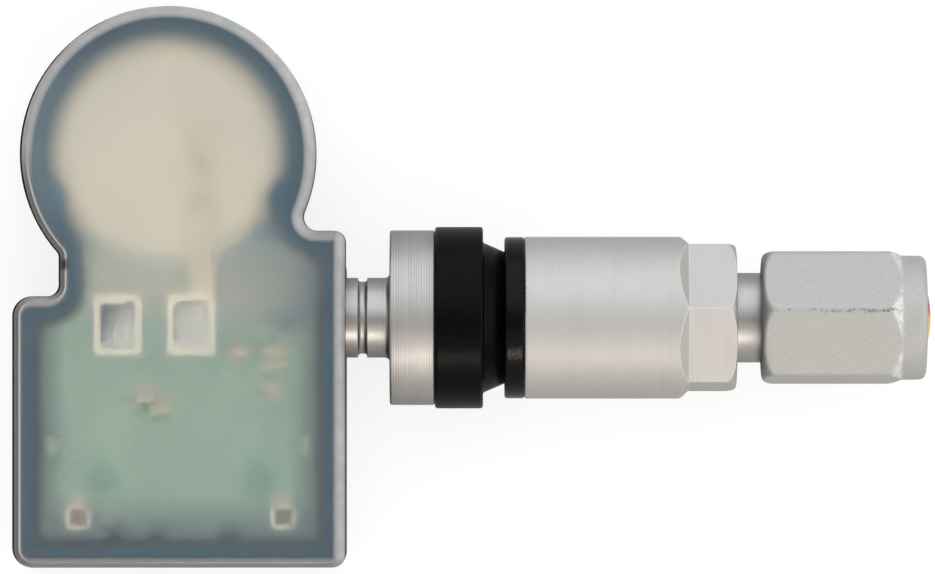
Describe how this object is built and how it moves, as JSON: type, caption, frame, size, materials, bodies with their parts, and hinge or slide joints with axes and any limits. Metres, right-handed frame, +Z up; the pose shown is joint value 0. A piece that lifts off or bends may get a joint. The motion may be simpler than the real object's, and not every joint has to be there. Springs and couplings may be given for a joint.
{
  "type": "tyre pressure sensor with clamp-in valve",
  "caption": "Wheel-mounted tyre pressure sensor: potted tub with board and coin cell, screwed to a metal valve stem with rubber grommet, clamp nut, valve core and hexagonal dust cap.",
  "frame": {"origin": "on the valve's axis, in the plane where the grommet's shoulder seats on the inside of the wheel rim", "axes": "+X along the valve towards the dust cap, +Y towards the round cell lobe, +Z up out of the potted face; the tub's flat back faces -Z"},
  "size_m": [0.0793, 0.0483, 0.0156],
  "materials": {
    "tub_plastic": "moulded, fine satin",
    "potting_resin": "milky translucent, soft sheen",
    "board_laminate": "green solder mask over laminate",
    "cell_steel": "nickel-plated",
    "tab_nickel": "rolled nickel strip",
    "solder": "reflowed",
    "antenna_tinned": "tinned",
    "chip_black": "moulded",
    "seal_silicone": "matte",
    "crystal_can": "plated lid",
    "ferrite": "sintered",
    "copper_wire": "enamelled winding",
    "chip_ceramic": "fired ceramic",
    "stem_aluminium": "turned",
    "screw_steel": "zinc-plated",
    "grommet_rubber": "matte",
    "washer_plastic": "moulded",
    "nut_aluminium": "satin, fine turned lines",
    "cap_aluminium": "tumbled",
    "dome_resin": "domed",
    "seal_rubber": "matte",
    "core_brass": "machined",
    "gasket_plastic": "moulded",
    "spring_steel": "drawn wire"
  },
  "bodies": {
    "sensor": {"housing": "tub_plastic", "potting_compound": "potting_resin", "circuit_board": "board_laminate", "coin_cell": "cell_steel", "negative_tab": "tab_nickel", "positive_tab": "tab_nickel", "tab_solder": "solder", "loop_antenna": "antenna_tinned", "antenna_solder": "solder", "pressure_sensor_ic": "chip_black", "port_seal": "seal_silicone", "crystal": "crystal_can", "lf_core": "ferrite", "lf_winding": "copper_wire", "chip_capacitors": "chip_ceramic", "chip_resistors": "chip_black", "valve_stem": "stem_aluminium", "stem_screw": "screw_steel", "grommet": "grommet_rubber", "core_body": "core_brass", "core_gasket": "gasket_plastic"},
    "washer": {"nut_washer": "washer_plastic"},
    "nut": {"valve_nut": "nut_aluminium"},
    "cap_liner": {"cap_seal": "seal_rubber"},
    "cap": {"valve_cap": "cap_aluminium", "cap_dome": "dome_resin"},
    "core": {"core_pin": "core_brass", "core_cup": "core_brass", "core_cup_seal": "seal_rubber", "core_spring": "spring_steel"}
  },
  "joints": [
    {"name": "nut_travel", "type": "slide", "parent": "sensor", "child": "washer", "axis": [1, 0, 0], "range_m": [0, 0.00187]},
    {"name": "nut_turn", "type": "hinge", "parent": "washer", "child": "nut", "pos_m": [0.012, 0, 0], "axis": [1, 0, 0], "range_deg": [0, 900]},
    {"name": "cap_travel", "type": "slide", "parent": "sensor", "child": "cap_liner", "axis": [1, 0, 0], "range_m": [0, 0.00635]},
    {"name": "cap_turn", "type": "hinge", "parent": "cap_liner", "child": "cap", "pos_m": [0.031, 0, 0], "axis": [1, 0, 0], "range_deg": [0, 2880]},
    {"name": "core_press", "type": "slide", "parent": "sensor", "child": "core", "axis": [-1, 0, 0], "range_m": [0, 0.0012], "stiffness_N_per_m": 1500, "springref_m": -0.001, "deforming": ["core_spring"]}
  ],
  "couplings": [
    {"joint": "nut_turn", "follows": "nut_travel", "rad_per_m": 8377.6},
    {"joint": "cap_turn", "follows": "cap_travel", "rad_per_m": 7915.8}
  ]
}
